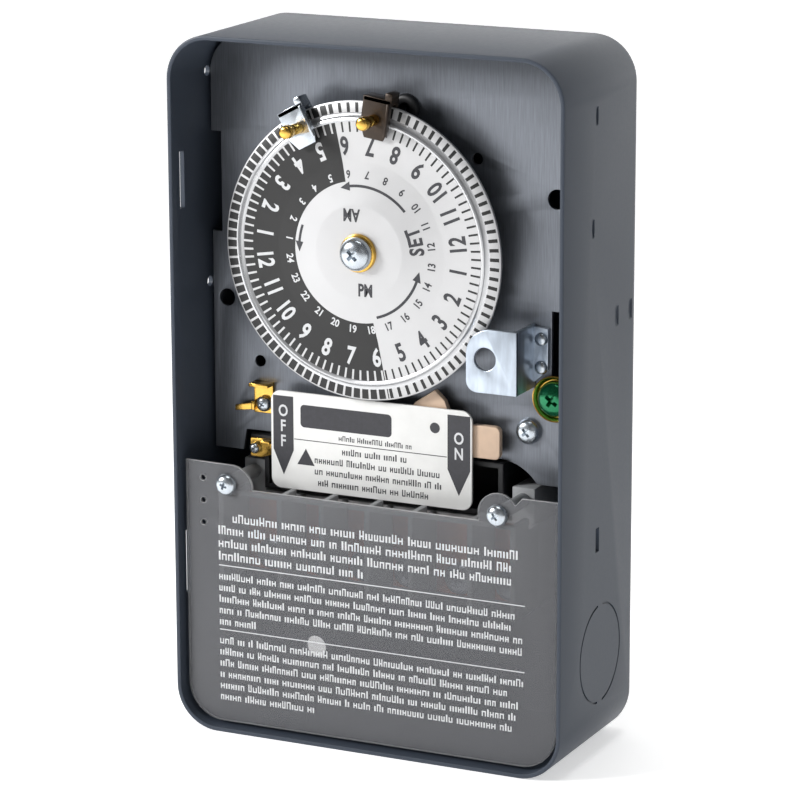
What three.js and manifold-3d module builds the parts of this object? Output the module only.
// Wall-mounted 24-hour mechanical time switch in an open sheet-steel enclosure.
// Millimetres. Origin: centre of the enclosure's back (wall) face.
// +X to the right, +Y into the wall, +Z up. The open front is at Y = -DEPTH.
import * as THREE from 'three';
import { mergeVertices } from 'three/addons/utils/BufferGeometryUtils.js';
import Module from 'manifold-3d';

const wasm = await Module();
wasm.setup();

// ---------------------------------------------------------------- driving dimensions
const WIDTH = 117.5;
const HEIGHT = 196.85;
const DEPTH = 50.8;
const CORNER_R = 12.5;
const WALL = 1.3;
const GAP = 0.3;
const TAU = 2 * Math.PI;

const KNOCKOUT = { y: -23.5, z: -69, outerR: 14.1, innerR: 13.7, depth: 0.45 };
const BOTTOM_KNOCKOUT_X = 26;
const BACK_KNOCKOUT_Z = -76;
const HINGE_SLOTS = [{ z0: 49.4, z1: 65.3 }, { z0: -60.4, z1: -42.2 }];
const HINGE_SLOT_Y = [-46.4, -43.9];
const KEYHOLE = { x: 0, z: 84, headR: 4.2, slotR: 2.4, rise: 6 };
const WALL_HOLE = { x: 40, z: -87, r: 3.3 };

// The mechanism's mounting plate is a shallow steel pan that stands off the back wall.
const PLATE_FRONT = -30;
const SHEET = 1.2;
const PLATE_BACK = PLATE_FRONT + SHEET;
const PLATE = { halfWidth: 56.4, bottom: -21.5, top: 96, cornerR: 10.5, recessTop: -15.5 };
const FLANGE_BACK = -1.6;

// Dial and its arbor.
const DIAL_X = -6;
const DIAL_Z = 40.4;
const DIAL_R = 41.3;
const DIAL_FACE = -38.6;
const DIAL_BACK = -37.4;
const DIAL_BAND = { front: -40.2, inner: 16, outer: 34.6, rimStart: 36.8 };
const DIAL_CENTRE = { front: -39.4, r: 13.2 };
const ARBOR_FRONT = -40.9;
const ARBOR_R = 3;
const RUNNING = 0.06;

// Gear train: motor pinion -> idler wheel, idler pinion -> dial gear.
const DIAL_TEETH = 72;
const IDLER_PINION_TEETH = 12;
const IDLER_WHEEL_TEETH = 36;
const MOTOR_TEETH = 10;
const COARSE = 0.75;
const FINE = 0.5;
const DIAL_GEAR_Y = [-36.2, -34.6];
const IDLER_WHEEL_Y = [-33.5, -32];
const IDLER_X = DIAL_X - COARSE * (DIAL_TEETH + IDLER_PINION_TEETH) / 2;
const IDLER_Z = DIAL_Z;
const MOTOR_ANGLE = -0.25 * Math.PI;
const MOTOR_DISTANCE = FINE * (IDLER_WHEEL_TEETH + MOTOR_TEETH) / 2;
const MOTOR_X = IDLER_X + MOTOR_DISTANCE * Math.cos(MOTOR_ANGLE);
const MOTOR_Z = IDLER_Z + MOTOR_DISTANCE * Math.sin(MOTOR_ANGLE);
const IDLER_STUD_R = 1.5;
const MOTOR_SHAFT_R = 1.2;
const MOTOR_CAN = { r: 24, front: -27.4, back: -10 };

// Trippers clamp on the dial's rim; angles are clockwise from the top, in degrees.
const TRIPPER_ON_ANGLE = -28;
const TRIPPER_OFF_ANGLE = 8.4;
const TRIPPER = { inner: 32, outer: 43.4, width: 8.4, plate: 0.7, screwR: 37.4, rearInner: 35.5 };
const TRIPPER_FACE = DIAL_BAND.front - GAP;
const TRIPPER_FRONT = TRIPPER_FACE - TRIPPER.plate;
const TRIPPER_REAR = DIAL_BACK + GAP + 0.8;
const THUMB = { headR: 1.9, headFront: -49.6, neckFront: -45.6, neckR: 1.5, shankR: 1.1 };

// Switch: label in front, rocker lever behind it, contacts in the black housing.
const LABEL = { x0: -35.6, x1: 25.8, z0: -29.5, z1: -1.6, front: -36, back: -35.2, r: 3 };
const LEVER = { front: -34.8, back: -32.8, pivotX: -4, pivotZ: -11.5, pinR: 2 };
const HOUSING = { front: -32.3, back: -14, wall: 1.5 };
const CONTACT = { pivotX: 12, pivotZ: -23.4, pinR: 1.4, armY: [-29.5, -26.5] };

// Terminal block and the clear shield in front of it.
const BAY_WALLS = [-46.4, -28.2, -15.2, -1.3, 12, 29.7, 42.4];
const BARRIER = 1.7;
const BLOCK = { front: -46, body: -31, back: -10, top: -32.2, railTop: -29.1, bottom: -56 };
const TERMINAL = { z0: -55, z1: -33, thick: 1.2, screwZ: -50, headR: 4.6, holeR: 2.3 };
const SHIELD = { front: -48, back: -47, halfWidth: 56.3, bottom: -96, cornerR: 10.6, top: -21 };
const SHIELD_EDGE_Z = -28;
const SHIELD_SCREWS = [{ x: -43.4, z: -26.8 }, { x: 38.9, z: -25.9 }];
const POST_R = 2;

// Hasp bracket riveted to the plate beside the dial.
const HASP = { tabX0: 27, tabX1: 41.9, z0: 5.8, z1: 23.4, front: -42.8, holeX: 32.6, holeZ: 15.2, holeR: 3.15 };
const HASP_FOOT_X = 46;
const HASP_RIVETS_Z = [19.4, 11.6];

// ---------------------------------------------------------------- materials
const finish = (color, roughness, metalness) =>
  new THREE.MeshStandardMaterial({ color, roughness, metalness });
const PAINT = finish(0x5a6068, 0.5, 0.2);
const GALVANISED = finish(0x85898f, 0.45, 0.8);
const ZINC = finish(0xb9c0c6, 0.3, 0.9);
const BRASS = finish(0xc9a04a, 0.3, 0.9);
const COPPER = finish(0xb8714e, 0.35, 0.9);
const DIAL_SILVER = finish(0xd2d3d4, 0.4, 0.6);
const BLACK = finish(0x17181a, 0.55, 0);
const TAN = finish(0xd8bfa8, 0.5, 0);
const WHITE = finish(0xe6e6e4, 0.4, 0);
const LIGHT_GREY = finish(0xb6b8ba, 0.5, 0);
const GREEN = finish(0x0c7a4c, 0.25, 0.8);
const BRONZE = finish(0x3a302a, 0.5, 0.5);
const CLEAR = new THREE.MeshStandardMaterial({
  color: 0xc8ccd0, roughness: 0.15, metalness: 0, transparent: true, opacity: 0.45,
});

// ---------------------------------------------------------------- geometry helpers
function arc(x, z, r, from, to, steps) {
  const points = [];
  for (let i = 0; i <= steps; i += 1) {
    const a = from + (to - from) * i / steps;
    points.push([x + r * Math.cos(a), z + r * Math.sin(a)]);
  }
  return points;
}

function circle(x, z, r, sides = 16) {
  return arc(x, z, r, 0, TAU * (sides - 1) / sides, sides - 1);
}

function roundedRect(x0, z0, x1, z1, r, steps = 5) {
  const q = Math.PI / 2;
  return [
    ...arc(x1 - r, z1 - r, r, 0, q, steps),
    ...arc(x0 + r, z1 - r, r, q, 2 * q, steps),
    ...arc(x0 + r, z0 + r, r, 2 * q, 3 * q, steps),
    ...arc(x1 - r, z0 + r, r, 3 * q, 4 * q, steps),
  ];
}

const vectors = (points) => points.map(([x, z]) => new THREE.Vector2(x, z));

// A flat piece drawn in X and Z, from yFront back to yBack.
function slab(outline, yFront, yBack, holes = []) {
  const shape = new THREE.Shape(vectors(outline));
  for (const hole of holes) {
    shape.holes.push(new THREE.Path(vectors(hole)));
  }
  const geometry = new THREE.ExtrudeGeometry(shape, { depth: yBack - yFront, bevelEnabled: false });
  geometry.rotateX(Math.PI / 2);
  geometry.translate(0, yBack, 0);
  return geometry;
}

function box(x0, x1, y0, y1, z0, z1) {
  const geometry = new THREE.BoxGeometry(x1 - x0, y1 - y0, z1 - z0);
  geometry.translate((x0 + x1) / 2, (y0 + y1) / 2, (z0 + z1) / 2);
  return geometry;
}

// A round piece about the Y axis; the profile lists [radius, y] from axis to axis.
function turned(profile, sides = 16) {
  return new THREE.LatheGeometry(vectors(profile), sides);
}

function rod(r, yFront, yBack, x = 0, z = 0, sides = 16) {
  const geometry = new THREE.CylinderGeometry(r, r, yBack - yFront, sides);
  geometry.translate(x, (yFront + yBack) / 2, z);
  return geometry;
}

function rodAlongX(r, x0, x1, y, z, sides = 16) {
  const geometry = new THREE.CylinderGeometry(r, r, x1 - x0, sides);
  geometry.rotateZ(Math.PI / 2);
  geometry.translate((x0 + x1) / 2, y, z);
  return geometry;
}

function rodAlongZ(r, z0, z1, x, y, sides = 16) {
  const geometry = new THREE.CylinderGeometry(r, r, z1 - z0, sides);
  geometry.rotateX(Math.PI / 2);
  geometry.translate(x, y, (z0 + z1) / 2);
  return geometry;
}

function signedVolume(positions, indices) {
  const a = new THREE.Vector3();
  const b = new THREE.Vector3();
  const c = new THREE.Vector3();
  let total = 0;
  for (let i = 0; i < indices.length; i += 3) {
    a.fromArray(positions, 3 * indices[i]);
    b.fromArray(positions, 3 * indices[i + 1]);
    c.fromArray(positions, 3 * indices[i + 2]);
    total += a.dot(b.cross(c));
  }
  return total;
}

// Turns a closed geometry into a solid that booleans can work on.
function solid(geometry) {
  const bare = geometry.clone();
  bare.deleteAttribute('normal');
  bare.deleteAttribute('uv');
  const merged = mergeVertices(bare, 1e-4);
  const vertProperties = new Float32Array(merged.attributes.position.array);
  const kept = [];
  const index = merged.index.array;
  for (let i = 0; i < index.length; i += 3) {
    const [a, b, c] = [index[i], index[i + 1], index[i + 2]];
    if (a !== b && b !== c && c !== a) {
      kept.push(a, b, c);
    }
  }
  if (signedVolume(vertProperties, kept) < 0) {
    kept.reverse();
  }
  return new wasm.Manifold(new wasm.Mesh({
    numProp: 3, vertProperties, triVerts: new Uint32Array(kept),
  }));
}

const join = (...pieces) => pieces.map(solid).reduce((sum, piece) => sum.add(piece));

const cut = (body, ...tools) => tools.map(solid).reduce((rest, tool) => rest.subtract(tool), body);

function geometryOf(body) {
  const mesh = body.getMesh();
  const geometry = new THREE.BufferGeometry();
  geometry.setAttribute('position', new THREE.BufferAttribute(new Float32Array(mesh.vertProperties), 3));
  geometry.setIndex(new THREE.BufferAttribute(new Uint32Array(mesh.triVerts), 1));
  geometry.computeVertexNormals();
  return geometry;
}

function named(name, shape, material, position = [0, 0, 0]) {
  const geometry = shape.isBufferGeometry ? geometryOf(solid(shape)) : geometryOf(shape);
  const mesh = new THREE.Mesh(geometry, material);
  mesh.name = name;
  mesh.position.set(...position);
  return mesh;
}

// ---------------------------------------------------------------- repeated hardware
// A pan-head screw whose head rests on y = 0 and points to -Y.
function panScrew(headR, headH, shankR, shankLength, sides = 14) {
  return turned([
    [0, -headH], [0.62 * headR, -headH], [0.92 * headR, -0.6 * headH], [headR, 0],
    [shankR, 0], [shankR, shankLength], [0, shankLength],
  ], sides);
}

// Straight-flanked gear teeth with some backlash; toothAt is the angle of one tooth's centre.
function gearOutline(teeth, module, toothAt) {
  const tip = module * (teeth / 2 + 1);
  const root = module * (teeth / 2 - 1.2);
  const pitch = TAU / teeth;
  const points = [];
  for (let i = 0; i < teeth; i += 1) {
    const centre = toothAt + i * pitch;
    for (const [offset, r] of [[-0.3, root], [-0.12, tip], [0.12, tip], [0.3, root]]) {
      const a = centre + offset * pitch;
      points.push([r * Math.cos(a), r * Math.sin(a)]);
    }
  }
  return points;
}

// ---------------------------------------------------------------- enclosure
function knockoutRing(axisRod) {
  return solid(axisRod(KNOCKOUT.outerR)).subtract(solid(axisRod(KNOCKOUT.innerR)));
}

function enclosure() {
  const halfW = WIDTH / 2;
  const halfH = HEIGHT / 2;
  const outer = slab(roundedRect(-halfW, -halfH, halfW, halfH, CORNER_R, 7), -DEPTH, 0);
  const inner = slab(
    roundedRect(-halfW + WALL, -halfH + WALL, halfW - WALL, halfH - WALL, CORNER_R - WALL, 7),
    -DEPTH - 1, -WALL,
  );
  const slots = HINGE_SLOTS.map(({ z0, z1 }) =>
    box(-halfW - 1, -halfW + WALL + 1, HINGE_SLOT_Y[0], HINGE_SLOT_Y[1], z0, z1));
  const k = KEYHOLE;
  const holes = [
    rodAlongX(1.5, -halfW - 1, -halfW + WALL + 1, PLATE_FRONT, 85.3, 12),
    rodAlongX(1.5, -halfW - 1, -halfW + WALL + 1, PLATE_FRONT, 26, 12),
    box(halfW - WALL - 1, halfW + 1, -27.4, -25, -39.5, -32.7),
    rod(k.headR, -WALL - 1, 1, k.x, k.z),
    box(k.x - k.slotR, k.x + k.slotR, -WALL - 1, 1, k.z, k.z + k.rise),
    rod(WALL_HOLE.r, -WALL - 1, 1, -WALL_HOLE.x, WALL_HOLE.z),
    rod(WALL_HOLE.r, -WALL - 1, 1, WALL_HOLE.x, WALL_HOLE.z),
  ];
  const { y, z, depth } = KNOCKOUT;
  const sides = 20;
  const rings = [
    knockoutRing((r) => rodAlongX(r, halfW - depth, halfW + 1, y, z, sides)),
    knockoutRing((r) => rodAlongX(r, -halfW - 1, -halfW + depth, y, z, sides)),
    knockoutRing((r) => rodAlongZ(r, -halfH - 1, -halfH + depth, -BOTTOM_KNOCKOUT_X, y, sides)),
    knockoutRing((r) => rodAlongZ(r, -halfH - 1, -halfH + depth, BOTTOM_KNOCKOUT_X, y, sides)),
    knockoutRing((r) => rod(r, -depth, 1, 0, BACK_KNOCKOUT_Z, sides)),
  ];
  const shell = cut(solid(outer), inner, ...slots, ...holes);
  return rings.reduce((rest, ring) => rest.subtract(ring), shell);
}

// ---------------------------------------------------------------- mounting plate and fittings
function mountingPlate() {
  const p = PLATE;
  const q = Math.PI / 2;
  const outline = [
    [-p.halfWidth, p.bottom], [-47.5, p.bottom], [-46.5, p.recessTop],
    ...arc(31, p.recessTop - 14, 14, q, 0.4 * q, 5), [45, p.bottom],
    [p.halfWidth, p.bottom], [p.halfWidth, 9], [46.6, 9], [46.6, 27], [p.halfWidth, 27],
    ...arc(p.halfWidth - p.cornerR, p.top - p.cornerR, p.cornerR, 0, q, 5),
    ...arc(-p.halfWidth + p.cornerR, p.top - p.cornerR, p.cornerR, q, 2 * q, 5),
    [-p.halfWidth, 68.7], [-53.4, 68.7], [-53.4, 40.6], [-p.halfWidth, 40.6],
  ];
  const holes = [
    circle(-52.1, 21.9, 2.4), circle(-41.9, 4.6, 1.6), circle(47.9, 57.6, 2.7),
    circle(24.5, 66.8, 1.6), circle(3.5, 79.2, 2.4), circle(40.1, -6.7, 2, 12),
    circle(48.2, 3.4, 2.3, 12), circle(DIAL_X, DIAL_Z, 4.8, 24), circle(MOTOR_X, MOTOR_Z, 3),
    circle(IDLER_X, IDLER_Z, 1.8, 12), circle(LEVER.pivotX, LEVER.pivotZ, 2.3),
    circle(-40.2, -7.2, 1.5, 12), ...HASP_RIVETS_Z.map((z) => circle(44, z, 1.3, 12)),
  ];
  const sheet = slab(outline, PLATE_FRONT, PLATE_BACK, holes);
  const flange = (x0, z0, z1) => box(x0, x0 + SHEET, PLATE_BACK - 0.5, FLANGE_BACK, z0, z1);
  const left = -p.halfWidth;
  const right = p.halfWidth - SHEET;
  return join(
    sheet, flange(left, -20, 38), flange(left, 71, 84), flange(right, -20, 8), flange(right, 28, 84),
  );
}

function haspBracket() {
  const h = HASP;
  const tab = slab([
    [h.tabX1, h.z0], [h.tabX1, h.z1],
    ...arc(h.tabX0 + 7.2, h.z1 - 7.2, 7.2, Math.PI / 2, Math.PI, 6),
    ...arc(h.tabX0 + 3.2, h.z0 + 3.2, 3.2, Math.PI, 1.5 * Math.PI, 4),
  ], h.front, h.front + SHEET, [circle(h.holeX, h.holeZ, h.holeR, 20)]);
  const riser = box(h.tabX1 - SHEET, h.tabX1, h.front, PLATE_FRONT, h.z0, h.z1);
  const foot = slab(
    [[h.tabX1 - SHEET, h.z0 + 0.5], [HASP_FOOT_X, h.z0 + 5.2], [HASP_FOOT_X, h.z1 - 1],
      [h.tabX1 - SHEET, h.z1 - 0.5]],
    PLATE_FRONT - SHEET, PLATE_FRONT, HASP_RIVETS_Z.map((z) => circle(44, z, 1.3, 12)),
  );
  return join(tab, riser, foot);
}

function plateFittings() {
  const group = new THREE.Group();
  group.add(named('mounting_plate', mountingPlate(), GALVANISED));
  group.add(named('hasp_bracket', haspBracket(), ZINC));
  const rivet = turned([[0, -0.9], [1.4, -0.7], [1.9, 0], [1, 0], [1, 2.6], [0, 2.6]], 12);
  ['upper', 'lower'].forEach((which, i) => {
    group.add(named(`hasp_rivet_${which}`, rivet, ZINC, [44, PLATE_FRONT - SHEET, HASP_RIVETS_Z[i]]));
  });
  const washer = turned([[2.6, 0], [2.6, -0.8], [5.4, -0.8], [5.9, -2], [6.5, -2], [6.3, 0], [2.6, 0]], 16);
  group.add(named('ground_cup_washer', washer, BRASS, [48.2, PLATE_FRONT, 3.4]));
  group.add(named('ground_screw', panScrew(5, 3.4, 2, 8), GREEN, [48.2, PLATE_FRONT - 0.8, 3.4]));
  group.add(named('plate_screw', panScrew(3.6, 2.6, 1.7, 6), ZINC, [40.1, PLATE_FRONT, -6.7]));
  const eyelet = turned([
    [1.7, -1.5], [3.4, -1.5], [4, -0.8], [4, 0], [2.1, 0], [2.1, 2.2], [1.7, 2.2], [1.7, -1.5],
  ], 14);
  group.add(named('plate_eyelet', eyelet, BLACK, [3.5, PLATE_FRONT, 79.2]));
  return group;
}

// ---------------------------------------------------------------- motor and gear train
function motorAndGears() {
  const group = new THREE.Group();
  const can = turned([
    [0, MOTOR_CAN.back], [MOTOR_CAN.r - 1.5, MOTOR_CAN.back], [MOTOR_CAN.r, MOTOR_CAN.back - 1.5],
    [MOTOR_CAN.r, MOTOR_CAN.front], [2, MOTOR_CAN.front], [2, MOTOR_CAN.front + 5], [0, MOTOR_CAN.front + 5],
  ], 24);
  group.add(named('motor_can', can, ZINC, [MOTOR_X, 0, MOTOR_Z]));
  const shaft = rod(MOTOR_SHAFT_R, IDLER_WHEEL_Y[0] - 1, MOTOR_CAN.front + 4.5, 0, 0, 16);
  group.add(named('motor_shaft', shaft, ZINC, [MOTOR_X, 0, MOTOR_Z]));
  const motorPinion = slab(
    gearOutline(MOTOR_TEETH, FINE, MOTOR_ANGLE + Math.PI),
    IDLER_WHEEL_Y[0], IDLER_WHEEL_Y[1], [circle(0, 0, MOTOR_SHAFT_R + 0.02, 16)],
  );
  group.add(named('motor_pinion', motorPinion, BRASS, [MOTOR_X, 0, MOTOR_Z]));
  // The wheel shows a gap to the motor pinion and its pinion shows a gap to the dial gear.
  const wheel = slab(
    gearOutline(IDLER_WHEEL_TEETH, FINE, MOTOR_ANGLE + Math.PI / IDLER_WHEEL_TEETH),
    IDLER_WHEEL_Y[0], IDLER_WHEEL_Y[1], [circle(0, 0, IDLER_STUD_R + RUNNING, 16)],
  );
  group.add(named('idler_wheel', wheel, BRASS, [IDLER_X, 0, IDLER_Z]));
  const pinion = slab(
    gearOutline(IDLER_PINION_TEETH, COARSE, Math.PI / IDLER_PINION_TEETH),
    DIAL_GEAR_Y[0], IDLER_WHEEL_Y[0], [circle(0, 0, IDLER_STUD_R + RUNNING, 16)],
  );
  group.add(named('idler_pinion', pinion, BRASS, [IDLER_X, 0, IDLER_Z]));
  const stud = turned([
    [0, -37], [2.2, -37], [2.2, -36.5], [IDLER_STUD_R, -36.5], [IDLER_STUD_R, PLATE_FRONT - 1.6],
    [2.6, PLATE_FRONT - 1.6], [2.6, PLATE_FRONT], [IDLER_STUD_R, PLATE_FRONT], [IDLER_STUD_R, -28], [0, -28],
  ], 16);
  group.add(named('idler_stud', stud, ZINC, [IDLER_X, 0, IDLER_Z]));
  return group;
}

// ---------------------------------------------------------------- dial
function dialAssembly() {
  const dial = new THREE.Group();
  dial.position.set(DIAL_X, 0, DIAL_Z);
  const bore = ARBOR_R + 0.02;
  const disc = turned([
    [bore, DIAL_CENTRE.front], [DIAL_CENTRE.r, DIAL_CENTRE.front], [DIAL_BAND.inner, DIAL_BAND.front],
    [DIAL_BAND.outer, DIAL_BAND.front], [DIAL_BAND.rimStart, DIAL_FACE], [DIAL_R, DIAL_FACE],
    [DIAL_R, DIAL_BACK], [7, DIAL_BACK], [7, DIAL_GEAR_Y[0]], [bore, DIAL_GEAR_Y[0]],
    [bore, DIAL_CENTRE.front],
  ], 48);
  dial.add(named('dial_disc', disc, DIAL_SILVER));
  const gear = slab(
    gearOutline(DIAL_TEETH, COARSE, 0), DIAL_GEAR_Y[0], DIAL_GEAR_Y[1], [circle(0, 0, bore, 24)],
  );
  dial.add(named('dial_gear', gear, BRASS));
  const arbor = turned([
    [0, -27.8], [ARBOR_R, -27.8], [ARBOR_R, ARBOR_FRONT], [0.8, ARBOR_FRONT], [0.8, -37], [0, -37],
  ], 24);
  dial.add(named('dial_arbor', arbor, ZINC));
  const hub = turned([
    [bore, DIAL_CENTRE.front], [5.7, DIAL_CENTRE.front], [5.4, ARBOR_FRONT], [bore, ARBOR_FRONT],
    [bore, DIAL_CENTRE.front],
  ], 24);
  dial.add(named('dial_hub', hub, BRASS));
  dial.add(named('dial_screw', panScrew(4.7, 2.6, 0.7, 3, 20), ZINC, [0, ARBOR_FRONT, 0]));
  const bushing = turned([
    [ARBOR_R + RUNNING, -33.6], [6.5, -33.6], [6.5, PLATE_FRONT], [4.6, PLATE_FRONT], [4.6, -27.8],
    [ARBOR_R + RUNNING, -27.8], [ARBOR_R + RUNNING, -33.6],
  ], 24);
  dial.add(named('arbor_bushing', bushing, BRASS));
  return dial;
}

// One tripper drawn at the top of the dial, with its trip nub on the given side.
function tripper(label, angle, material) {
  const t = TRIPPER;
  const half = t.width / 2;
  const front = slab([
    [-half + 1.6, t.inner], [half - 1.2, t.inner], [half, t.inner + 3], [half, t.outer],
    [-half, t.outer], [-half, t.inner + 3.4],
  ], TRIPPER_FRONT, TRIPPER_FACE, [circle(0, t.screwR, THUMB.shankR + 0.2, 12)]);
  const web = box(-half, half, TRIPPER_FRONT, TRIPPER_REAR, DIAL_R + GAP + 0.3, t.outer);
  const rear = box(-half, half, DIAL_BACK + GAP, TRIPPER_REAR, t.rearInner, t.outer);
  const nub = box(half - 2.2, half, TRIPPER_FRONT, TRIPPER_REAR, t.outer - 0.5, t.outer + 1.8);
  const thumbscrew = turned([
    [0, THUMB.headFront], [0.7 * THUMB.headR, THUMB.headFront],
    [THUMB.headR, THUMB.headFront + 1], [THUMB.headR, THUMB.neckFront - 0.8],
    [THUMB.neckR, THUMB.neckFront], [THUMB.neckR, TRIPPER_FRONT - 0.1], [THUMB.shankR, TRIPPER_FRONT - 0.1],
    [THUMB.shankR, DIAL_FACE - GAP], [0, DIAL_FACE - GAP],
  ], 14);
  const group = new THREE.Group();
  group.rotation.y = THREE.MathUtils.degToRad(angle);
  group.add(named(`tripper_${label}_clip`, join(front, web, rear, nub), material));
  group.add(named(`tripper_${label}_thumbscrew`, thumbscrew, BRASS, [0, 0, t.screwR]));
  return group;
}

// ---------------------------------------------------------------- switch
function overrideLever() {
  const l = LEVER;
  const tipR = 1.6;
  const outline = [
    [-18, -14], [l.pivotX - 3.4, -15.5], [l.pivotX - 2.4, -22.5], [l.pivotX + 2.4, -22.5],
    [l.pivotX + 3.4, -15.5], [26, -14.6],
    ...arc(33.5 - tipR, -14.6 + tipR, tipR, -Math.PI / 2, 0, 3),
    ...arc(33.5 - tipR, -5.4 - tipR, tipR, 0, Math.PI / 2, 3),
    [26, -5.4], [20, -7], [17, 0.4], [14, 3.1], [8, -1], [5, -6], [-18, -8],
  ];
  return slab(outline, l.front, l.back, [circle(l.pivotX, l.pivotZ, l.pinR + RUNNING, 20)]);
}

function switchHousing() {
  const h = HOUSING;
  const right = 33.5;
  const outline = [
    [-44, -22.6], [-39.8, -22.6], [-39.8, -31.2], [right, -31.2], [right, -16], [-44, -16],
  ];
  const cavity = box(-39.8 + h.wall, right - h.wall, h.front - 1, h.back - h.wall, -31.2 + h.wall, -16 - h.wall);
  const screwHole = rod(1.5, h.front - 1, h.front + 6, -41.9, -19.6, 12);
  return cut(solid(slab(outline, h.front, h.back)), cavity, screwHole);
}

function switchParts() {
  const group = new THREE.Group();
  const b = LABEL;
  group.add(named('label_plate', slab(roundedRect(b.x0, b.z0, b.x1, b.z1, b.r), b.front, b.back), WHITE));
  group.add(named('label_post_left', rod(1.5, b.back, PLATE_FRONT, -31, -6, 12), ZINC));
  group.add(named('label_post_right', rod(0.7, b.back, HOUSING.front, 23, -16.75, 12), ZINC));
  const pin = turned([
    [0, -35.1], [3, -35.1], [3, LEVER.front - 0.05], [LEVER.pinR, LEVER.front - 0.05],
    [LEVER.pinR, PLATE_FRONT - 2], [3.2, PLATE_FRONT - 2], [3.2, PLATE_FRONT], [LEVER.pinR, PLATE_FRONT],
    [LEVER.pinR, -27.5], [0, -27.5],
  ], 20);
  group.add(named('lever_pin', pin, ZINC, [LEVER.pivotX, 0, LEVER.pivotZ]));
  group.add(named('override_lever', overrideLever(), TAN));
  group.add(named('switch_housing', switchHousing(), BLACK));
  const c = CONTACT;
  const backWall = HOUSING.back - HOUSING.wall;
  group.add(named('contact_pin', rod(c.pinR, -31, backWall, c.pivotX, c.pivotZ, 20), ZINC));
  const arm = join(
    slab([[-12, -24.4], [c.pivotX, -26.4], [c.pivotX + 3, -26.4], [c.pivotX + 3, -20.4],
      [c.pivotX, -20.4], [-12, -22.9]], c.armY[0], c.armY[1],
    [circle(c.pivotX, c.pivotZ, c.pinR + RUNNING, 20)]),
    rodAlongZ(1.6, -25.6, -24, -9.5, (c.armY[0] + c.armY[1]) / 2, 12),
  );
  group.add(named('contact_arm', arm, BRASS));
  const fixed = join(
    box(-34, -6.5, c.armY[0], c.armY[1], -28.6, -27.5),
    rodAlongZ(1.6, -28, -25.9, -9.5, (c.armY[0] + c.armY[1]) / 2, 12),
    box(-34, -31, c.armY[1] - 1, backWall, -28.6, -27.5),
  );
  group.add(named('fixed_contact', fixed, BRASS));
  return group;
}

// Two brass solder tabs for the motor leads, each held by a screw.
function motorTabs() {
  const group = new THREE.Group();
  const upper = join(
    slab([[-43.5, -10], [-37.5, -10], [-37.5, -1], [-43.5, -1]], PLATE_FRONT - 1, PLATE_FRONT,
      [circle(-40.2, -7.2, 1.5, 12)]),
    box(-43.5, -37.5, PLATE_FRONT - 4.4, PLATE_FRONT - 0.5, -2, -1),
    slab([[-48.5, -9.6], [-43, -8.8], [-43, -6.8], [-48.5, -8]], PLATE_FRONT - 3, PLATE_FRONT - 2),
    box(-43.5, -42.5, PLATE_FRONT - 3, PLATE_FRONT - 0.5, -9, -6.5),
  );
  group.add(named('motor_tab_upper', upper, BRASS));
  group.add(named('tab_screw_upper', panScrew(2.3, 1.9, 1.2, 4, 12), ZINC, [-40.2, PLATE_FRONT - 1, -7.2]));
  const front = HOUSING.front;
  const lower = join(
    slab([[-43.6, -22.2], [-40, -22.2], [-36.5, -21], [-36.5, -16.8], [-43.6, -16.8]], front - 1, front,
      [circle(-41.9, -19.6, 1.5, 12)]),
    box(-39.4, -36.5, front - 3.4, front - 0.5, -17.8, -16.8),
  );
  group.add(named('motor_tab_lower', lower, BRASS));
  group.add(named('tab_screw_lower', panScrew(1.6, 1.9, 1.1, 4, 12), ZINC, [-41.9, front - 1, -19.6]));
  return group;
}

// ---------------------------------------------------------------- terminals and shield
function terminalBlock() {
  const b = BLOCK;
  const left = BAY_WALLS[0] - BARRIER / 2;
  const right = BAY_WALLS[BAY_WALLS.length - 1] + BARRIER / 2;
  const body = box(left, right, b.body, b.back, b.bottom, b.top);
  const barriers = BAY_WALLS.map((x) =>
    join(
      box(x - BARRIER / 2, x + BARRIER / 2, b.front, b.body + 0.5, b.bottom, b.top),
      box(x - BARRIER / 2, x + BARRIER / 2, b.front, LABEL.front - 0.8, b.top - 0.5, b.railTop),
    ));
  const rail = box(left, right, b.front, b.front + 1.4, b.railTop - 1.2, b.railTop);
  const ears = SHIELD_SCREWS.map(({ x, z }) =>
    box(x - 3.4, x + 3.4, b.body, b.back, b.top - 0.5, z + 3.4));
  const screwHoles = bayCentres().map(({ x }) =>
    rod(TERMINAL.holeR, b.body - 1, b.body + 8, x, TERMINAL.screwZ, 12));
  const whole = barriers.reduce((sum, barrier) => sum.add(barrier), join(body, rail, ...ears));
  return cut(whole, ...screwHoles);
}

function bayCentres() {
  return BAY_WALLS.slice(1).map((x, i) => ({
    x: (x + BAY_WALLS[i]) / 2,
    width: x - BAY_WALLS[i] - BARRIER,
  }));
}

function terminals() {
  const group = new THREE.Group();
  group.add(named('terminal_block', terminalBlock(), LIGHT_GREY));
  const plateFront = BLOCK.body - TERMINAL.thick;
  bayCentres().forEach(({ x, width }, i) => {
    const half = width / 2 - 0.4;
    const plate = slab(
      [[x - half, TERMINAL.z0], [x + half, TERMINAL.z0], [x + half, TERMINAL.z1], [x - half, TERMINAL.z1]],
      plateFront, BLOCK.body, [circle(x, TERMINAL.screwZ, TERMINAL.holeR, 12)],
    );
    group.add(named(`terminal_plate_${i + 1}`, plate, COPPER));
    const screw = panScrew(TERMINAL.headR, 3, 2, 7);
    group.add(named(`terminal_screw_${i + 1}`, screw, ZINC, [x, plateFront, TERMINAL.screwZ]));
  });
  return group;
}

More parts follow.
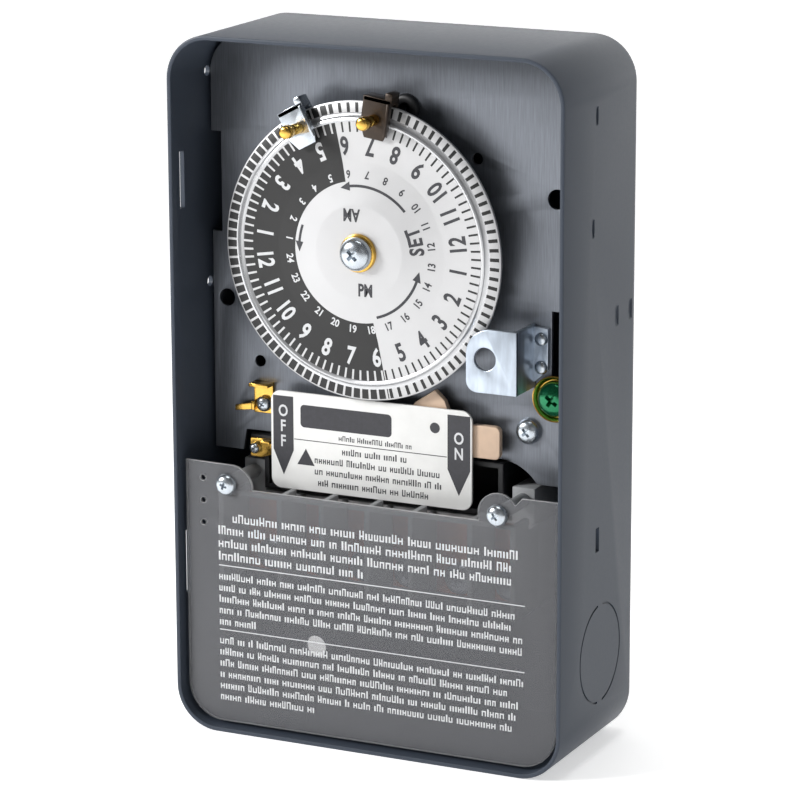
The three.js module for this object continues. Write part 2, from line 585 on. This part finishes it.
function wiringShield() {
  const s = SHIELD;
  const [leftScrew, rightScrew] = SHIELD_SCREWS;
  const earR = 6.6;
  const q = Math.PI / 2;
  const humpR = 6;
  const humpStart = Math.PI + Math.asin((rightScrew.z - SHIELD_EDGE_Z) / humpR);
  const outline = [
    ...arc(-s.halfWidth + s.cornerR, s.bottom + s.cornerR, s.cornerR, 2 * q, 3 * q, 6),
    ...arc(s.halfWidth - s.cornerR, s.bottom + s.cornerR, s.cornerR, 3 * q, 4 * q, 6),
    [s.halfWidth, s.top + 0.4], [46, s.top + 0.4],
    ...arc(rightScrew.x, rightScrew.z, humpR, 0.36 * q, humpStart, 7),
    ...arc(leftScrew.x + 1.3, SHIELD_EDGE_Z + 0.2, earR, 0, q, 5),
    [-s.halfWidth, s.top],
  ];
  const holes = [
    circle(leftScrew.x, leftScrew.z, 2, 12), circle(rightScrew.x, rightScrew.z, 2, 12),
    ...[-25.8, -32.2, -38.6].map((z) => circle(-51, z, 0.8, 10)),
  ];
  const sheet = slab(outline, s.front, s.back, holes);
  const flange = box(s.halfWidth - 1, s.halfWidth, s.back - 0.5, s.back + 5, -44.5, s.top - 1);
  return join(sheet, flange);
}

function shieldParts() {
  const group = new THREE.Group();
  group.add(named('wiring_shield', wiringShield(), CLEAR));
  ['left', 'right'].forEach((side, i) => {
    const { x, z } = SHIELD_SCREWS[i];
    const post = cut(solid(rod(POST_R, SHIELD.back, BLOCK.body, x, z, 14)), rod(1.65, SHIELD.back - 1, -40, x, z, 12));
    group.add(named(`shield_post_${side}`, post, LIGHT_GREY));
    group.add(named(`shield_screw_${side}`, panScrew(3.1, 2.3, 1.6, 7), ZINC, [x, SHIELD.front, z]));
  });
  return group;
}

// ---------------------------------------------------------------- the whole time switch
const timeSwitch = new THREE.Group();
timeSwitch.add(named('enclosure', enclosure(), PAINT));
timeSwitch.add(plateFittings());
timeSwitch.add(motorAndGears());
const dial = dialAssembly();
dial.add(tripper('on', TRIPPER_ON_ANGLE, ZINC));
dial.add(tripper('off', TRIPPER_OFF_ANGLE, BRONZE));
timeSwitch.add(dial);
timeSwitch.add(switchParts());
timeSwitch.add(motorTabs());
timeSwitch.add(terminals());
timeSwitch.add(shieldParts());

export default timeSwitch;
